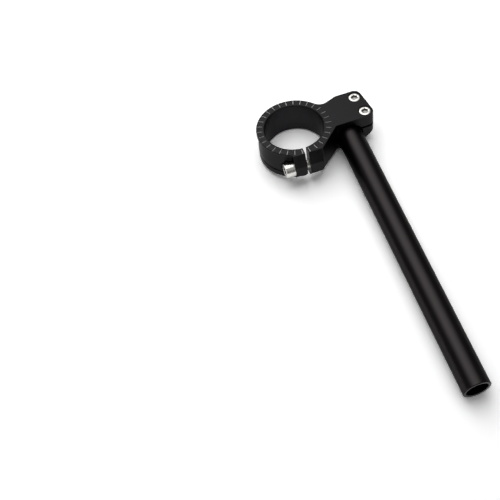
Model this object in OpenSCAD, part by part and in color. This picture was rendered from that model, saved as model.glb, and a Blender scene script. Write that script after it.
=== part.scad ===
// Clip-on handlebar for the right-hand fork leg: a split aluminium fork clamp with an arm that
// grips a short 22 mm handlebar tube. Millimetres. The origin is on the fork axis at the middle
// of the clamp's height, +Z points up the fork, +X out along the arm and -Y back to the rider.

/* [Fork clamp ring] */
// Diameter of the fork leg that the clamp grips
fork_d = 50; // [46:1:54]
// Wall of the clamp ring at its top rim
ring_wall = 7; // [6:0.5:9]
// Height of the clamp along the fork
clamp_h = 28; // [25:1:34]
// Height of the plain band under the top edge of the ring
rim_h = 2.5; // [1.5:0.5:4]
// How far the ring's wall steps in under the rim
waist_depth = 1.6; // [0.8:0.1:2.5]
// Height of the foot band below the groove
foot_h = 5.5; // [4:0.5:7]
// How far the foot band stands back from the rim
foot_inset = 0.5; // [0:0.1:0.6]
// Width of the groove above the foot band
groove_w = 1.2; // [0.6:0.1:2]
// Height of the plain band above the groove, where the wall starts to draw in
band_h = 4.3; // [2:0.1:6]
// Chamfer on the ring's outer and bore edges
ring_chamfer = 0.6; // [0.3:0.1:1]

/* [Split and pinch bolt] */
// Width of the split through the ring
split_w = 3; // [2:0.5:5]
// Length of the lug on the side of the bolt's head, from the split's middle
head_lug = 12; // [10:0.5:13]
// Length of the lug that the bolt threads into, from the split's middle
thread_lug = 13; // [12:0.5:15]
// How far the upright face of the lugs stands out from the ring
lug_reach = 4; // [3:0.5:6]
// Height of the lugs' fold, where the slope from the top meets the upright face
lug_fold = 2.7; // [1:0.1:5]
// Depth of the lugs' underside below the middle of the clamp
lug_low = 9.4; // [8:0.2:11]
// Chamfer between the lugs' upright face and their underside
lug_chamfer = 2.4; // [1:0.1:3]
// Metal between the fork's bore and the bolt's hole
pinch_wall = 1.5; // [1.2:0.1:2.5]
// Height of the bolt's axis below the middle of the clamp
pinch_drop = 1; // [0:0.2:4]
// Thread diameter of the pinch bolt
pinch_d = 8; // [6:1:8]
// Length of the pinch bolt under its head
pinch_length = 24; // [20:1:24]
// Room round the pinch bolt's head in its pocket
pocket_gap = 0.8; // [0.3:0.1:1]

/* [Arm and bar clamp] */
// Distance from the fork's axis to the bar's axis
bar_offset = 45; // [43:1:52]
// Distance from the fork's axis to the front face of the arm
arm_front = 13; // [11:0.5:15]
// Distance from the fork's axis to the back face of the arm
arm_back = 20; // [18:0.5:22]
// Distance from the bar's axis to the outer end of the jaws
jaw_reach = 22; // [22:0.5:26]
// Angle between the jaws' outer end and the bar, the back being nearer to the fork
end_skew = 6.6; // [0:0.2:8]
// Radius of the jaws' upright corners
jaw_corner = 6; // [4:0.5:8]
// Metal round the underside of the bar
jaw_wall = 3.6; // [2.5:0.1:5]
// Height of the lower jaw's outer end below the slit
jaw_lip = 5; // [3:0.5:6]
// Radius of the lower jaw's outer edge
lip_round = 5; // [1:0.5:6]
// Height of the slit between the jaws
slit_h = 2; // [1:0.25:3]
// Height of the slit's middle above the middle of the clamp
slit_rise = 2; // [1:0.5:4]
// Angle that the arm's back edge makes as it flares from the ring
flare_angle = 20.6; // [15:0.2:25]
// Distance from the bar's axis to the start of the flared back edge
flare_start = 0.5; // [0:0.5:3]
// Radius of the blend between the arm's back edge and the ring
arm_blend = 8; // [4:0.5:10]
// How far along the lugs the web below the arm's front edge comes down past them
web_step = 0.9; // [0.2:0.1:2]
// Radius of the blend between the web and the arm's front edge
web_blend = 1.5; // [0.5:0.5:4]
// Chamfer at the mouth of the bar's bore
mouth_chamfer = 1.2; // [0.5:0.1:1.5]
// Distance from the bar's axis to the jaw screws
screw_offset = 15.6; // [15.4:0.1:16]
// Spacing of the two jaw screws along the jaws' end
screw_pitch = 18.6; // [16:0.2:20]
// Thread diameter of the jaw screws
screw_d = 6; // [5:1:6]
// Length of a jaw screw under its head
screw_length = 14; // [12:1:14]
// Depth of a jaw screw's head below the arm's top face
screw_sink = 0.4; // [0:0.1:1]
// Room round a jaw screw's head in its counterbore
counterbore_gap = 0.5; // [0.2:0.1:0.8]

/* [Handlebar tube] */
// Outer diameter of the handlebar
bar_d = 22.2; // [20:0.1:23]
// Wall of the handlebar tube
bar_wall = 2.3; // [1.5:0.1:4]
// Whole length of the handlebar tube
bar_length = 280; // [180:1:320]
// Angle that the bar drops below the clamp's level
bar_droop = 6; // [0:0.5:8]
// Height of the bar's axis below mid-clamp, level with the fork's axis
bar_drop = 2; // [0:0.5:3]
// How far the tube's inner end stands back from the arm's back face
bar_inset = 1; // [0.5:0.5:4]
// How far the clamped end of the tube is turned down, on its radius
seat_cut = 0.2; // [0.2:0.1:0.5]
// Chamfer on the tube's ends
bar_chamfer = 0.4; // [0.2:0.1:0.8]

/* [Scale marks] */
// Number of angle marks round the ring's top face
mark_count = 30; // [12:6:36]
// Width of a mark
mark_w = 0.5; // [0.3:0.1:0.8]
// Length of a mark
mark_length = 4.8; // [3:0.2:5]
// Distance from the bore's edge to a mark
mark_gap = 1.8; // [1:0.1:2]
// Depth of a mark
mark_depth = 0.25; // [0.1:0.05:0.4]

/* [Hidden] */
round_fn = 128;
// Sliding room round the tube, and running room between plain shanks, threads and their holes
bar_gap = 0.05;
shank_gap = 0.2;
thread_gap = 0.05;
// Overlap that makes a cut run clear of the face it starts from
over = 1;
// How far the back blend's arc bites into the rim, so that the two circles cross and don't just touch
blend_bite = 0.05;

fork_r = fork_d / 2;
ring_r = fork_r + ring_wall;
waist_r = ring_r - waist_depth;
foot_r = ring_r - foot_inset;
top_z = clamp_h / 2;
groove_z = -top_z + foot_h;
band_z = groove_z + groove_w;

// Socket head screws: head, key and edge sizes follow the thread diameter
function head_d(d) = 1.5 * d + 1;
function head_h(d) = d;
function key_w(d) = d > 6 ? 0.75 * d : d - 1;
function key_depth(d) = 0.5 * d;

pinch_hole_r = pinch_d / 2 + shank_gap;
pinch_y = -(fork_r + pinch_wall + pinch_hole_r);
pinch_z = -pinch_drop;
lug_y = -ring_r - lug_reach;
pocket_r = head_d(pinch_d) / 2 + pocket_gap;

bar_r = bar_d / 2;
seat_r = bar_r - seat_cut;
bore_r = seat_r + bar_gap;
jaw_r = bore_r + jaw_wall;
arm_mid = (arm_back - arm_front) / 2;
screw_seat_z = top_z - screw_sink - head_h(screw_d);
counterbore_r = head_d(screw_d) / 2 + counterbore_gap;

// Outer end of the jaws as a line with direction end_u and normal end_n, and its corners' centres
end_u = [-sin(end_skew), cos(end_skew)];
end_n = [cos(end_skew), sin(end_skew)];
front_corner = [corner_x(jaw_corner - arm_front), jaw_corner - arm_front];
back_corner = [corner_x(arm_back - jaw_corner), arm_back - jaw_corner];
jaw_end = front_corner[0] + jaw_corner;
function corner_x(y) = bar_offset + jaw_reach - (jaw_corner + (y - arm_mid) * sin(end_skew)) / cos(end_skew);
function screw_at(side) = [bar_offset + screw_offset, arm_mid] + side * screw_pitch / 2 * end_u;

// The straight front edge of the arm turns 45 degrees down to the lug
diagonal_x = thread_lug + web_step;
front_corner_x = diagonal_x + (ring_r - arm_front);

// Back edge of the arm as a line with direction u and normal n, then the centre of its blend
flare_x = bar_offset - flare_start;
flare_u = [cos(flare_angle), sin(flare_angle)];
flare_n = [-sin(flare_angle), cos(flare_angle)];
flare_rise = flare_n * [flare_x, arm_back] + arm_blend;
blend_run = ring_r - blend_bite + arm_blend;
flare_run = sqrt(pow(blend_run, 2) - pow(flare_rise, 2));
back_blend = flare_rise * flare_n + flare_run * flare_u;
front_blend = [front_corner_x + web_blend * tan(22.5), -arm_front - web_blend];

// Places its children on the bar's axis, with +Z along the tube from the rider's end inwards
module on_bar() {
    translate([bar_offset, 0, -bar_drop]) rotate([-90 + bar_droop, 0, 0]) children();
}

// A socket head screw along Z with the underside of its head at the origin
module socket_screw(d, length) {
    edge = 0.08 * d;
    difference() {
        rotate_extrude($fn = round_fn)
            polygon([
                [0, -length],
                [d / 2 - edge, -length],
                [d / 2, -length + edge],
                [d / 2, 0],
                [head_d(d) / 2, 0],
                [head_d(d) / 2, head_h(d) - edge],
                [head_d(d) / 2 - edge, head_h(d)],
                [0, head_h(d)]
            ]);
        translate([0, 0, head_h(d) - key_depth(d)])
            cylinder(d = key_w(d) / cos(30), h = key_depth(d) + over, $fn = 6);
    }
}

// Section of the ring from its axis outwards: rim, drawn-in wall, groove and foot band
module ring_section() {
    polygon([
        [fork_r, -top_z],
        [foot_r - ring_chamfer, -top_z],
        [foot_r, -top_z + ring_chamfer],
        [foot_r, groove_z],
        [waist_r, groove_z],
        [waist_r, band_z],
        [foot_r, band_z],
        [foot_r, band_z + band_h],
        [waist_r, top_z - rim_h],
        [ring_r, top_z - rim_h],
        [ring_r, top_z - ring_chamfer / 2],
        [ring_r - ring_chamfer / 2, top_z],
        [fork_r, top_z]
    ]);
}

// Outline of the arm from above, with its rounded outer corners
module arm_outline() {
    translate(front_corner) circle(r = jaw_corner, $fn = round_fn);
    translate(back_corner) circle(r = jaw_corner, $fn = round_fn);
    polygon([
        [0, 0],
        [0, -arm_front],
        [front_corner[0], -arm_front],
        front_corner + jaw_corner * end_n,
        back_corner + jaw_corner * end_n,
        [back_corner[0], arm_back],
        [flare_x, arm_back],
        [flare_x - arm_back * cos(flare_angle), arm_back - arm_back * sin(flare_angle)]
    ]);
}

// Concave blend between the ring and the arm's back edge
module back_web() {
    difference() {
        polygon([
            back_blend * (ring_r - blend_bite) / blend_run,
            back_blend,
            back_blend - arm_blend * flare_n,
            back_blend - 2 * arm_blend * flare_n - arm_blend * flare_u,
            back_blend * (fork_r + over) / blend_run
        ]);
        translate(back_blend) circle(r = arm_blend, $fn = round_fn);
    }
}

// Diagonal web from the arm's front edge down to the lug, with a small blend at the top
module front_web(depth) {
    difference() {
        union() {
            polygon([
                [0, -arm_front],
                [front_corner_x, -arm_front],
                [diagonal_x + depth - ring_r, -depth],
                [0, -depth]
            ]);
            polygon([
                [front_corner_x - web_blend, -arm_front],
                [front_blend[0], -arm_front],
                front_blend,
                front_blend + web_blend * [-cos(45), sin(45)]
            ]);
        }
        translate(front_blend) circle(r = web_blend, $fn = round_fn);
    }
}

// The end of the arm seen along the bar: flat top, outer end and an underside round the bar
module jaw_profile() {
    bottom = -bar_drop - arm_front * tan(bar_droop);
    lip = [jaw_end, slit_rise - slit_h / 2 - jaw_lip];
    under = [bar_offset, bottom] + jaw_r * [cos(45), -sin(45)];
    slope = (under - lip) / norm(under - lip);
    tangent = lip_round / tan(acos(slope[1]) / 2);
    translate([0, -top_z]) square([bar_offset, clamp_h]);
    translate([jaw_end - lip_round, lip[1] + tangent]) circle(r = lip_round, $fn = round_fn);
    polygon([
        [0, top_z],
        [jaw_end, top_z],
        [jaw_end, lip[1] + tangent],
        lip + tangent * slope,
        under,
        [bar_offset, bottom],
        [0, bottom]
    ]);
}

// Both lugs in one, drawn across the split: a slope from the top edge, an upright face, a chamfer
module lugs() {
    translate([-head_lug, 0, 0])
        rotate([90, 0, 90])
            linear_extrude(height = head_lug + thread_lug)
                polygon([
                    [-fork_r, -lug_low],
                    [lug_y + lug_chamfer, -lug_low],
                    [lug_y, -lug_low + lug_chamfer],
                    [lug_y, lug_fold],
                    [-ring_r, top_z],
                    [-fork_r, top_z]
                ]);
}

module clamp_solid() {
    rotate_extrude($fn = round_fn) ring_section();
    intersection() {
        translate([0, 0, -2 * top_z]) linear_extrude(height = 3 * top_z) arm_outline();
        rotate([90, 0, 0]) linear_extrude(height = 4 * ring_r, center = true) jaw_profile();
    }
    intersection() {
        on_bar() cylinder(r = jaw_r, h = 4 * ring_r, center = true, $fn = round_fn);
        translate([0, 0, -2 * top_z]) linear_extrude(height = 3 * top_z) arm_outline();
    }
    translate([0, 0, -top_z]) linear_extrude(height = clamp_h) back_web();
    translate([0, 0, -top_z]) linear_extrude(height = clamp_h) front_web(ring_r - 2 * foot_inset);
    translate([0, 0, band_z]) linear_extrude(height = top_z - band_z) front_web(ring_r);
    lugs();
}

module fork_bore() {
    cone_h = ring_chamfer + over;
    cylinder(r = fork_r, h = clamp_h + 2 * over, center = true, $fn = round_fn);
    for (end = [0, 1])
        mirror([0, 0, end])
            translate([0, 0, top_z - ring_chamfer])
                cylinder(r1 = fork_r, r2 = fork_r + cone_h, h = cone_h, $fn = round_fn);
}

module pinch_cuts() {
    translate([-split_w / 2, lug_y - over, -top_z - over])
        cube([split_w, -lug_y, clamp_h + 2 * over]);
    translate([0, pinch_y, pinch_z]) {
        rotate([0, -90, 0]) cylinder(r = pinch_hole_r, h = head_lug + over, $fn = round_fn);
        rotate([0, 90, 0]) cylinder(r = pinch_d / 2 + thread_gap, h = thread_lug + over, $fn = round_fn);
        translate([-head_lug, 0, 0])
            rotate([0, -90, 0])
                cylinder(r = pocket_r, h = ring_r, $fn = round_fn);
    }
}

module jaw_cuts() {
    on_bar() cylinder(r = bore_r, h = 4 * ring_r, center = true, $fn = round_fn);
    translate([bar_offset, -arm_front - over, -bar_drop - arm_front * tan(bar_droop)])
        rotate([-90, 0, 0])
            cylinder(r1 = bore_r + mouth_chamfer + over, r2 = bore_r - over, h = mouth_chamfer + 2 * over, $fn = round_fn);
    translate([bar_offset, -arm_front - over, slit_rise - slit_h / 2])
        cube([jaw_reach + over, arm_front + arm_back + 2 * over, slit_h]);
    for (side = [-1, 1])
        translate(screw_at(side)) {
            translate([0, 0, screw_seat_z])
                cylinder(r = counterbore_r, h = clamp_h, $fn = round_fn);
            translate([0, 0, slit_rise])
                cylinder(r = screw_d / 2 + shank_gap, h = clamp_h, $fn = round_fn);
            translate([0, 0, slit_rise - clamp_h])
                cylinder(r = screw_d / 2 + thread_gap, h = clamp_h, $fn = round_fn);
        }
}

// Engraved angle marks, with the split midway between two of them
module scale_marks() {
    for (i = [0 : mark_count - 1])
        rotate([0, 0, -90 + (i + 0.5) * 360 / mark_count])
            translate([fork_r + mark_gap, -mark_w / 2, top_z - mark_depth])
                cube([mark_length, mark_w, mark_depth + over]);
}

module fork_clamp() {
    color("#2b2b2d")
        difference() {
            clamp_solid();
            fork_bore();
            pinch_cuts();
            jaw_cuts();
            scale_marks();
        }
}

module handlebar_tube() {
    inner_end = arm_back / cos(bar_droop) - bar_inset;
    free_length = bar_length - inner_end - arm_front / cos(bar_droop) - bar_r * tan(bar_droop);
    c = bar_chamfer;
    color("#1e1d1d")
        on_bar()
            translate([0, 0, inner_end - bar_length])
                rotate_extrude($fn = round_fn)
                    polygon([
                        [bar_r - bar_wall + c, 0],
                        [bar_r - c, 0],
                        [bar_r, c],
                        [bar_r, free_length],
                        [seat_r, free_length],
                        [seat_r, bar_length - c],
                        [seat_r - c, bar_length],
                        [bar_r - bar_wall + c, bar_length],
                        [bar_r - bar_wall, bar_length - c],
                        [bar_r - bar_wall, c]
                    ]);
}

module fork_pinch_bolt() {
    color("#c4c2bc")
        translate([-head_lug, pinch_y, pinch_z])
            rotate([0, -90, 0])
                socket_screw(pinch_d, pinch_length);
}

module jaw_screw(side) {
    color("#c4c2bc")
        translate([0, 0, screw_seat_z])
            translate(screw_at(side))
                socket_screw(screw_d, screw_length);
}

module front_jaw_screw() {
    jaw_screw(-1);
}

module rear_jaw_screw() {
    jaw_screw(1);
}

fork_clamp();
handlebar_tube();
fork_pinch_bolt();
front_jaw_screw();
rear_jaw_screw();
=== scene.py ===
import math

import bmesh
import bpy
from mathutils import Matrix, Vector


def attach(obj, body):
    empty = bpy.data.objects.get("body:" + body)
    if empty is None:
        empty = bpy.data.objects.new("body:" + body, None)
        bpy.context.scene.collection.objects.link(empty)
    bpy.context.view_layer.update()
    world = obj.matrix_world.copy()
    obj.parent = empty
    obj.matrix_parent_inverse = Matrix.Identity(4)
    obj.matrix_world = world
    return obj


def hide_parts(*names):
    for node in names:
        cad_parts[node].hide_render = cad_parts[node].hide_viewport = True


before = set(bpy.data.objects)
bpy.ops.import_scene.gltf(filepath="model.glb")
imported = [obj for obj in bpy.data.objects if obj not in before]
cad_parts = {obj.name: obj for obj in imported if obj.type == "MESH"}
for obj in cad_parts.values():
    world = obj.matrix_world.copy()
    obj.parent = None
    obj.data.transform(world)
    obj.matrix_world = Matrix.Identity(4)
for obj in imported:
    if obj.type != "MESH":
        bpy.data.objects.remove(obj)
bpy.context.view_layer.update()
scene = bpy.context.scene


# Fork clamp: ring, arm and jaws cut from one piece of aluminium, bead blasted and anodised satin
# black, with a thin line of light on its edges. The angle marks are engraved to pale metal, the
# bore keeps the fine lines of the boring bar and is a little paler, partly from its turned finish
# and partly as a painted reflection, and the groove over the foot is painted dark as the shade in
# it.
class Wire:
    """A number on its way through a finish. An expression on wires adds its Math nodes."""

    def __init__(self, finish, socket):
        self.finish = finish
        self.socket = socket

    def math(self, operation, *values):
        sockets = dict(enumerate(values))
        made = self.finish.node("Math", {"operation": operation}, sockets)
        return Wire(self.finish, made.outputs[0])

    def __add__(self, other):
        return self.math("ADD", self, other)

    def __radd__(self, other):
        return self.math("ADD", other, self)

    def __sub__(self, other):
        return self.math("SUBTRACT", self, other)

    def __rsub__(self, other):
        return self.math("SUBTRACT", other, self)

    def __mul__(self, other):
        return self.math("MULTIPLY", self, other)

    def __pow__(self, other):
        return self.math("POWER", self, other)

    def __mod__(self, other):
        return self.math("MODULO", self, other)

    def __abs__(self):
        return self.math("ABSOLUTE", self)

    def __lt__(self, other):
        return self.math("LESS_THAN", self, other)

    def __gt__(self, other):
        return self.math("GREATER_THAN", self, other)


class Finish:
    """One finish: a material with its Principled shader, and the one way to add nodes to it."""

    COLOUR_FIRST = 6
    COLOUR_SECOND = 7
    COLOUR_RESULT = 2

    def __init__(self, name, tone, roughness, metal=0.0, edge_shine=1.0):
        self.material = bpy.data.materials.new(name)
        self.material.use_nodes = True
        self.tree = self.material.node_tree
        self.shader = self.tree.nodes["Principled BSDF"]
        self.feed(self.shader, {
            "Base Color": (*tone, 1),
            "Roughness": roughness,
            "Metallic": metal,
            "Specular Tint": (edge_shine, edge_shine, edge_shine, 1),
        })

    def feed(self, node, sockets):
        for name, value in sockets.items():
            if isinstance(value, Wire):
                self.tree.links.new(value.socket, node.inputs[name])
            elif isinstance(value, bpy.types.NodeSocket):
                self.tree.links.new(value, node.inputs[name])
            else:
                node.inputs[name].default_value = value

    def node(self, kind, settings=None, sockets=None):
        node = self.tree.nodes.new("ShaderNode" + kind)
        for name, value in (settings or {}).items():
            setattr(node, name, value)
        self.feed(node, sockets or {})
        return node

    def place(self):
        return self.node("TexCoord").outputs["Object"]

    def own_axes(self, place, origin, turned):
        shifted = self.node("VectorMath", {"operation": "SUBTRACT"}, {0: place, 1: origin})
        sockets = {"Vector": shifted.outputs[0], "Rotation": turned}
        return self.node("Mapping", None, sockets).outputs[0]

    def parts(self, vector):
        split = self.node("SeparateXYZ", None, {"Vector": vector})
        return [Wire(self, split.outputs[axis]) for axis in "XYZ"]

    def noise(self, vector, scale, detail):
        made = self.node("TexNoise", None, {"Vector": vector, "Scale": scale, "Detail": detail})
        return Wire(self, made.outputs["Fac"])

    def blend(self, factor, first, second):
        mix = self.node("Mix", {"data_type": "RGBA"}, {"Factor": factor})
        self.feed_colour(mix, self.COLOUR_FIRST, first)
        self.feed_colour(mix, self.COLOUR_SECOND, second)
        return mix.outputs[self.COLOUR_RESULT]

    def feed_colour(self, mix, slot, colour):
        if isinstance(colour, bpy.types.NodeSocket):
            self.tree.links.new(colour, mix.inputs[slot])
        else:
            mix.inputs[slot].default_value = (*colour, 1)

    def broken_edges(self, radius):
        return self.node("Bevel", {"samples": 6}, {"Radius": radius}).outputs["Normal"]

    def relief(self, height, depth, under=None):
        sockets = {"Height": height, "Distance": depth}
        if under is not None:
            sockets["Normal"] = under
        return self.node("Bump", None, sockets).outputs["Normal"]


def dress(node, finish):
    for slot in node.material_slots:
        slot.material = finish.material


CLOUD_DETAIL = 3.0
GRAIN_DETAIL = 2.0
EDGE_BREAK = 0.0002
BEAD_SCALE = 4200
BEAD_DEPTH = 0.000007
CLAMP_CLOUDS = 55
CLAMP_DEEP = (0.0174, 0.0167, 0.0176)
CLAMP_PALE = (0.0204, 0.0197, 0.0204)
# Bore tone: a little paler than the outside, partly for its turned finish and partly as a painted
# reflection of the light within the ring
BORE_TONE_AND_PAINTED_SHEEN = (0.0232, 0.0222, 0.0240)
# Painted shade: the groove over the foot is coloured near black to stand for the shadow that falls
# in it
GROOVE_PAINTED_SHADE = (0.0022, 0.0021, 0.0022)
MARK_METAL = (0.50, 0.50, 0.49)
MARKS = 30
MARKS_BEFORE = MARKS * 1.25
MARK_STEP = 2 * math.pi / MARKS
MARK_HALF_W = 0.00027
MARK_FROM = 0.0266
MARK_TO = 0.0317
MARK_HIGH = 0.0139
MARK_LOW = 0.0136
BORE_R = 0.0252
BORE_LINE = 0.0004
GROOVE_FROM = 0.0295
GROOVE_TO = 0.0314
GROOVE_LOW = -0.00852
GROOVE_HIGH = -0.00728

anodised = Finish("clamp_anodised", (0.0150, 0.0144, 0.0152), 0.34, metal=1.0, edge_shine=0.60)
place = anodised.place()
x, y, z = anodised.parts(place)
radius = (x * x + y * y) ** 0.5
turn = y.math("ARCTAN2", y, x)
off_mark = abs((turn * (1 / MARK_STEP) + MARKS_BEFORE) % 1 - 0.5) * MARK_STEP * radius
marks = (off_mark < MARK_HALF_W) * (radius > MARK_FROM) * (radius < MARK_TO)
marks = marks * (z > MARK_LOW) * (z < MARK_HIGH)
in_bore = radius < BORE_R
groove_shade_mask = (radius > GROOVE_FROM) * (radius < GROOVE_TO) * (z > GROOVE_LOW) * (z < GROOVE_HIGH)

cloud = anodised.noise(place, CLAMP_CLOUDS, CLOUD_DETAIL)
grain = anodised.noise(place, BEAD_SCALE, GRAIN_DETAIL)
bored = z.math("SINE", z * (2 * math.pi / BORE_LINE))
edges = anodised.broken_edges(EDGE_BREAK)
black = anodised.blend(cloud, CLAMP_DEEP, CLAMP_PALE)
# Painted reflection in part: the bore is coloured paler than the outside, besides its turned
# finish
black = anodised.blend(in_bore, black, BORE_TONE_AND_PAINTED_SHEEN)
# Painted shade: the groove is darkened in colour where its shadow falls
black = anodised.blend(groove_shade_mask, black, GROOVE_PAINTED_SHADE)
anodised.feed(anodised.shader, {
    "Base Color": anodised.blend(marks, black, MARK_METAL),
    "Roughness": 0.30 + cloud * 0.09 + marks * 0.2 + groove_shade_mask * 0.3,
    "Metallic": 1 - marks,
    "Normal": anodised.relief(grain + in_bore * bored * 0.4, BEAD_DEPTH, edges),
})
dress(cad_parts["fork_clamp"], anodised)


# Handlebar tube: drawn aluminium tube, 22.2 mm outside with a 2.3 mm wall, satin black anodised
# over the fine lines that drawing leaves along it. Its clamped end sits in the arm's jaws, its own
# bore is painted darker as the shade within the tube, and its open ends are machined flat to a
# paler ring next to the bore, whose pale colour also stands in as a painted highlight along the
# end rim.
BAR_THROUGH = Vector((0.045, 0.0, -0.002))
BAR_DROOP = math.radians(6)
BAR_INSIDE = 0.0095
BAR_PALE_TO = 0.0104
BAR_OUTER_FACE = -0.26065
BAR_INNER_FACE = 0.01886
DRAWN_SCALE = 2600
DRAWN_DEPTH = 0.000005
DRAWN_OUT = (1, 0.012, 1)
TUBE_GRAIN = 4500
TUBE_CLOUDS = 40
TUBE_DEEP = (0.0234, 0.0210, 0.0215)
TUBE_PALE = (0.0264, 0.0236, 0.0242)
# Painted shade: the tube's own bore is coloured much darker to stand for the shade within it
TUBE_BORE_PAINTED_SHADE = (0.0060, 0.0060, 0.0068)
# Pale metal of the machined ends, also a painted highlight for the line of light along the end rim
FACED_PALE_AND_PAINTED_HIGHLIGHT = (0.17, 0.17, 0.175)

tube_black = Finish("tube_anodised", (0.0249, 0.0223, 0.0228), 0.30, metal=1.0, edge_shine=0.50)
place = tube_black.place()
along = tube_black.own_axes(place, BAR_THROUGH, (-BAR_DROOP, 0, 0))
x, y, z = tube_black.parts(along)
out = (x * x + z * z) ** 0.5
tube_bore_shade_mask = out < BAR_INSIDE
# Partly painted highlight: the machined end rims are coloured pale
end_rim_highlight_mask = ((y < BAR_OUTER_FACE) + (y > BAR_INNER_FACE)) * (out < BAR_PALE_TO)
drawn = tube_black.node("VectorMath", {"operation": "MULTIPLY"}, {0: along, 1: DRAWN_OUT})
lines = tube_black.noise(drawn.outputs[0], DRAWN_SCALE, GRAIN_DETAIL)
grain = tube_black.noise(place, TUBE_GRAIN, GRAIN_DETAIL)
cloud = tube_black.noise(place, TUBE_CLOUDS, CLOUD_DETAIL)
outer = tube_black.blend(cloud, TUBE_DEEP, TUBE_PALE)
# Painted shade within the tube's bore
outer = tube_black.blend(tube_bore_shade_mask, outer, TUBE_BORE_PAINTED_SHADE)
edges = tube_black.broken_edges(EDGE_BREAK)
tube_black.feed(tube_black.shader, {
    "Base Color": tube_black.blend(end_rim_highlight_mask, outer, FACED_PALE_AND_PAINTED_HIGHLIGHT),
    "Roughness": 0.24 + cloud * 0.06 + lines * 0.05 + tube_bore_shade_mask * 0.2,
    "Normal": tube_black.relief(lines * 0.5 + grain * 0.5, DRAWN_DEPTH, edges),
})
dress(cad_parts["handlebar_tube"], tube_black)


# Jaw screws: two M6 socket head screws in bright plated steel, sunk in counterbores in the arm's
# top face, which pull the jaws together on the bar. The head is turned with a broken edge, the
# key's hexagon is punched down to a cone, and the shank is threaded up to a short plain neck.
ROUND = 48
SOCKET_FLOOR = 0.62
MOUTH_CLEAR = 0.3
FLOOR_CLEAR = 0.05
SHARP_FROM = math.radians(25)
MM = 0.001
TURNED_SCALE = 9000
PLATING_DEPTH = 0.000004
PLATING_CLOUDS = 350
PLATING_DEEP = (0.60, 0.59, 0.56)
PLATING_PALE = (0.72, 0.71, 0.68)
# Painted shade: the sides of the key's hexagon are coloured near black for the shade within the
# socket
SOCKET_WALL_PAINTED_SHADE = (0.045, 0.040, 0.036)


def ring_of(mesh, height, radius_at):
    ring = []
    for step in range(ROUND):
        turn = 2 * math.pi * step / ROUND
        radius = radius_at(turn)
        ring.append(mesh.verts.new((-radius * math.sin(turn), radius * math.cos(turn), height)))
    return ring


def circle_of(mesh, radius, height):
    return ring_of(mesh, height, lambda turn: radius)


def hexagon_of(mesh, across, height):
    sixth = math.pi / 3
    return ring_of(mesh, height, lambda turn: across / 2 / math.cos(turn % sixth - sixth / 2))


def skin(mesh, rings):
    for first, second in zip(rings, rings[1:]):
        for here in range(ROUND):
            on = (here + 1) % ROUND
            mesh.faces.new((first[here], first[on], second[on], second[here]))
    mesh.faces.new(rings[0])
    mesh.faces.new(rings[-1])


def socket_screw(name, thread_d, length, key_w, pitch, neck, place):
    # All in millimetres, from the seat under the head: head up, shank down
    head_r = (1.5 * thread_d + 1) / 2
    head_h = thread_d
    shank_r = thread_d / 2
    thread_depth = 0.54 * pitch
    root_r = shank_r - thread_depth
    root_land = 0.1 * pitch
    flank = 0.38 * pitch
    turns = int((length - neck - pitch) / pitch)
    broken = 0.11 * thread_d
    broken_mid = 0.3 * broken
    under_break = 0.15
    mouth_break = 0.2
    mouth_r = key_w / math.sqrt(3) + 0.15
    socket_z = SOCKET_FLOOR * head_h
    cone_tip_r = 0.2
    cone_drop = 0.06 * key_w
    mesh = bmesh.new()
    rings = [
        circle_of(mesh, cone_tip_r, socket_z - cone_drop),
        hexagon_of(mesh, key_w, socket_z),
        hexagon_of(mesh, key_w, head_h - mouth_break),
        circle_of(mesh, mouth_r, head_h),
        circle_of(mesh, head_r - broken, head_h),
        circle_of(mesh, head_r - broken_mid, head_h - broken_mid),
        circle_of(mesh, head_r, head_h - broken),
        circle_of(mesh, head_r, under_break),
        circle_of(mesh, head_r - under_break, 0),
        circle_of(mesh, shank_r, 0),
        circle_of(mesh, shank_r, -neck),
    ]
    for turn in range(turns):
        root = -neck - pitch * (turn + 0.5)
        rings += [
            circle_of(mesh, root_r, root + root_land),
            circle_of(mesh, root_r, root),
            circle_of(mesh, shank_r, root - flank),
            circle_of(mesh, shank_r, root - pitch / 2),
        ]
    rings += [
        circle_of(mesh, shank_r, -length + shank_r - root_r),
        circle_of(mesh, root_r, -length),
    ]
    skin(mesh, rings)
    bmesh.ops.recalc_face_normals(mesh, faces=mesh.faces)
    bmesh.ops.scale(mesh, vec=(MM, MM, MM), verts=mesh.verts)
    bmesh.ops.transform(mesh, matrix=place, verts=mesh.verts)
    for face in mesh.faces:
        face.smooth = True
    for edge in mesh.edges:
        if len(edge.link_faces) == 2 and edge.calc_face_angle() > SHARP_FROM:
            edge.smooth = False
    data = bpy.data.meshes.new(name)
    mesh.to_mesh(data)
    mesh.free()
    screw = bpy.data.objects.new(name, data)
    scene.collection.objects.link(screw)
    return screw


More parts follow.
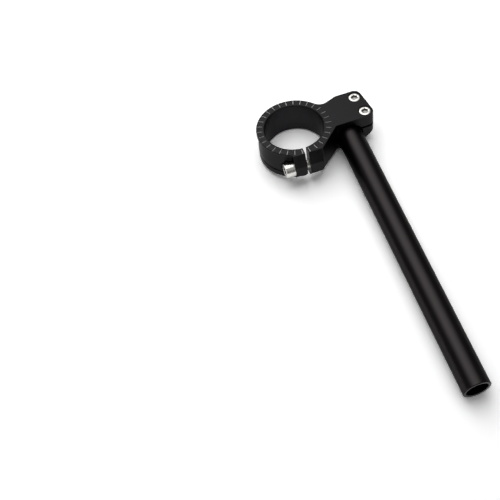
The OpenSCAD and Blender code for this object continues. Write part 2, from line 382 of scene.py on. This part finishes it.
def plated_steel(name, origin, axis_turn, key_w, head_h):
    # Bright plating over turned steel, with fine circles on the head. The punched socket is
    # rougher, and the sides of its hexagon are painted dark as the shade within it.
    finish = Finish(name, (0.66, 0.65, 0.62), 0.24, metal=1.0)
    place = finish.place()
    x, y, z = finish.parts(finish.own_axes(place, origin, axis_turn))
    out = (x * x + y * y) ** 0.5
    turned = {"W": out, "Scale": TURNED_SCALE, "Detail": GRAIN_DETAIL}
    circles = finish.node("TexNoise", {"noise_dimensions": "1D"}, turned)
    circles = Wire(finish, circles.outputs["Fac"])
    punched = (out < key_w / math.sqrt(3) * MM) * (z < (head_h - MOUTH_CLEAR) * MM) * (z > 0)
    # Painted shade on the sides of the socket
    socket_shade_mask = punched * (z > (SOCKET_FLOOR * head_h + FLOOR_CLEAR) * MM)
    cloud = finish.noise(place, PLATING_CLOUDS, CLOUD_DETAIL)
    plating = finish.blend(cloud, PLATING_DEEP, PLATING_PALE)
    finish.feed(finish.shader, {
        "Base Color": finish.blend(socket_shade_mask, plating, SOCKET_WALL_PAINTED_SHADE),
        "Roughness": 0.19 + cloud * 0.12 + punched * 0.42,
        "Normal": finish.relief(circles + cloud * 0.3, PLATING_DEPTH),
    })
    return finish


JAW_SCREW_D = 6
JAW_SCREW_KEY = 5
JAW_SCREW_LINE = math.radians(6.6)
JAW_SCREW_HALF_PITCH = 0.0093
JAW_SCREW_MIDDLE = Vector((0.0606, 0.0035, 0.0076))
JAW_SCREW_WAY = Vector((-math.sin(JAW_SCREW_LINE), math.cos(JAW_SCREW_LINE), 0))

for name, side, stopped_at in (("front_jaw_screw", -1, -16), ("rear_jaw_screw", 1, -4)):
    seat = JAW_SCREW_MIDDLE + side * (JAW_SCREW_WAY * JAW_SCREW_HALF_PITCH)
    screw = socket_screw(
        name + "_detail", JAW_SCREW_D, length=14, key_w=JAW_SCREW_KEY, pitch=1.0, neck=3.0,
        place=Matrix.Translation(seat) @ Matrix.Rotation(math.radians(stopped_at), 4, "Z"))
    plated = plated_steel(name + "_plated", seat, (0, 0, 0), JAW_SCREW_KEY, JAW_SCREW_D)
    screw.data.materials.append(plated.material)
    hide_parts(name)
    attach(screw, "root")


# Fork pinch bolt: one M8 socket head screw of the same bright steel. It lies across the split
# with its head in a pocket beside the lug, runs plain through that lug, shows in the split and
# pulls the threaded lug up to close the ring on the fork leg.
PINCH_D = 8
PINCH_KEY = 6
PINCH_SEAT = Vector((-0.012, -0.0307, -0.001))
PINCH_LYING = math.radians(90)
PINCH_STOPPED_AT = 0.3

lying = Matrix.Rotation(-PINCH_LYING, 4, "Y") @ Matrix.Rotation(PINCH_STOPPED_AT, 4, "Z")
bolt = socket_screw(
    "fork_pinch_bolt_detail", PINCH_D, length=24, key_w=PINCH_KEY, pitch=1.25, neck=8.0,
    place=Matrix.Translation(PINCH_SEAT) @ lying)
plated = plated_steel(
    "fork_pinch_bolt_plated", PINCH_SEAT, (0, PINCH_LYING, 0), PINCH_KEY, PINCH_D)
bolt.data.materials.append(plated.material)
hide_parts("fork_pinch_bolt")
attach(bolt, "root")


# Studio floor: a plain pale table that the ring's foot and the bar's outer end rest on, so it is
# tipped a few degrees in the clamp's frame. It shows white where it is open to the light and keeps
# the object's shadow.
FLOOR_PITCH = math.radians(5.3)
FLOOR_HALF = 6.0
FLOOR_TONE = 0.86
FLOOR_SEEN = 1.42

floor_up = Matrix.Rotation(FLOOR_PITCH, 3, "X") @ Vector((0, 0, 1))
lowest = min(
    floor_up.dot(point.co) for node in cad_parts.values() for point in node.data.vertices)
floor_turn = Vector((0, 0, 1)).rotation_difference(floor_up).to_matrix().to_4x4()
floor_place = Matrix.Translation(floor_up * lowest) @ floor_turn
mesh = bmesh.new()
bmesh.ops.create_grid(mesh, x_segments=1, y_segments=1, size=FLOOR_HALF)
bmesh.ops.transform(mesh, matrix=floor_place, verts=mesh.verts)
floor_data = bpy.data.meshes.new("floor")
mesh.to_mesh(floor_data)
mesh.free()
floor = bpy.data.objects.new("floor", floor_data)
scene.collection.objects.link(floor)

paper = Finish("floor_paper", (FLOOR_TONE,) * 3, 1.0)
path = paper.node("LightPath")
seen = Wire(paper, path.outputs["Is Camera Ray"]) + Wire(paper, path.outputs["Is Glossy Ray"])
seen = seen + Wire(paper, path.outputs["Is Transmission Ray"])
paper.feed(paper.shader, {
    "Base Color": paper.blend(seen, (FLOOR_TONE,) * 3, (FLOOR_SEEN,) * 3),
    "Specular IOR Level": 0.0,
})
floor_data.materials.append(paper.material)


# Studio light: a bank of soft boxes overhead, brightest along its middle, whose reflection lies
# along the bar and over the top faces. It reaches from well behind the object to the camera's
# side, and a dim even room leaves the upright faces dark.
ROOM_SHINE = 0.19


def soft_box(name, left, right, front, back, shine, height):
    # The sides are slopes: how far the box reaches for each metre of its height
    data = bpy.data.lights.new(name, "AREA")
    data.shape = "RECTANGLE"
    data.size = (right - left) * height
    data.size_y = (back - front) * height
    data.energy = math.pi * data.size * data.size_y * shine
    lamp = bpy.data.objects.new(name, data)
    middle = Vector(((left + right) / 2, (front + back) / 2, 1))
    lamp.matrix_world = Matrix.Translation(middle * height)
    scene.collection.objects.link(lamp)


# The boxes hang a little under one another, so that a reflection counts each of them
for name, left, right, front, back, shine, height in (
    ("bank_wide", -0.90, 0.75, -0.25, 1.90, 0.85, 1.20),
    ("bank_middle", -0.55, 0.40, -0.25, 1.90, 1.10, 1.18),
    ("bank_bright", -0.26, 0.05, -0.25, 1.20, 0.45, 1.16),
    ("bank_front", -0.90, 0.90, -1.60, -0.25, 0.22, 1.20),
):
    soft_box(name, left, right, front, back, shine, height)

room = bpy.data.worlds.new("room")
room.use_nodes = True
walls_of_room = room.node_tree.nodes["Background"]
walls_of_room.inputs["Color"].default_value = (1, 1, 1, 1)
walls_of_room.inputs["Strength"].default_value = ROOM_SHINE
scene.world = room
scene.view_settings.view_transform = "Standard"


# Camera: it looks down on the clamp from the rider's side, a little from the head of the pinch
# bolt, with the bar running away to the lower right. Its place was worked out in the frame of the
# part from the ellipses of the ring and the edges of the bar.
VIEW_ROWS = (
    (0.94582, -0.30787, -0.10313),
    (-0.30607, -0.73947, -0.59958),
    (0.10833, 0.59866, -0.79364),
)
VIEW_PLACE = Vector((-0.15431, -0.55049, 0.59937))
FOCAL_PX = 965.0
FRAME_PX = 500.0
SENSOR_MM = 36.0

across, down, ahead = (Vector(row).normalized() for row in VIEW_ROWS)
camera_data = bpy.data.cameras.new("camera")
camera_data.sensor_width = SENSOR_MM
camera_data.lens = FOCAL_PX * SENSOR_MM / FRAME_PX
camera_data.clip_end = 50.0
camera = bpy.data.objects.new("camera", camera_data)
camera_turn = Matrix((across, -down, -ahead)).transposed().to_4x4()
camera.matrix_world = Matrix.Translation(VIEW_PLACE) @ camera_turn
scene.collection.objects.link(camera)
scene.camera = camera
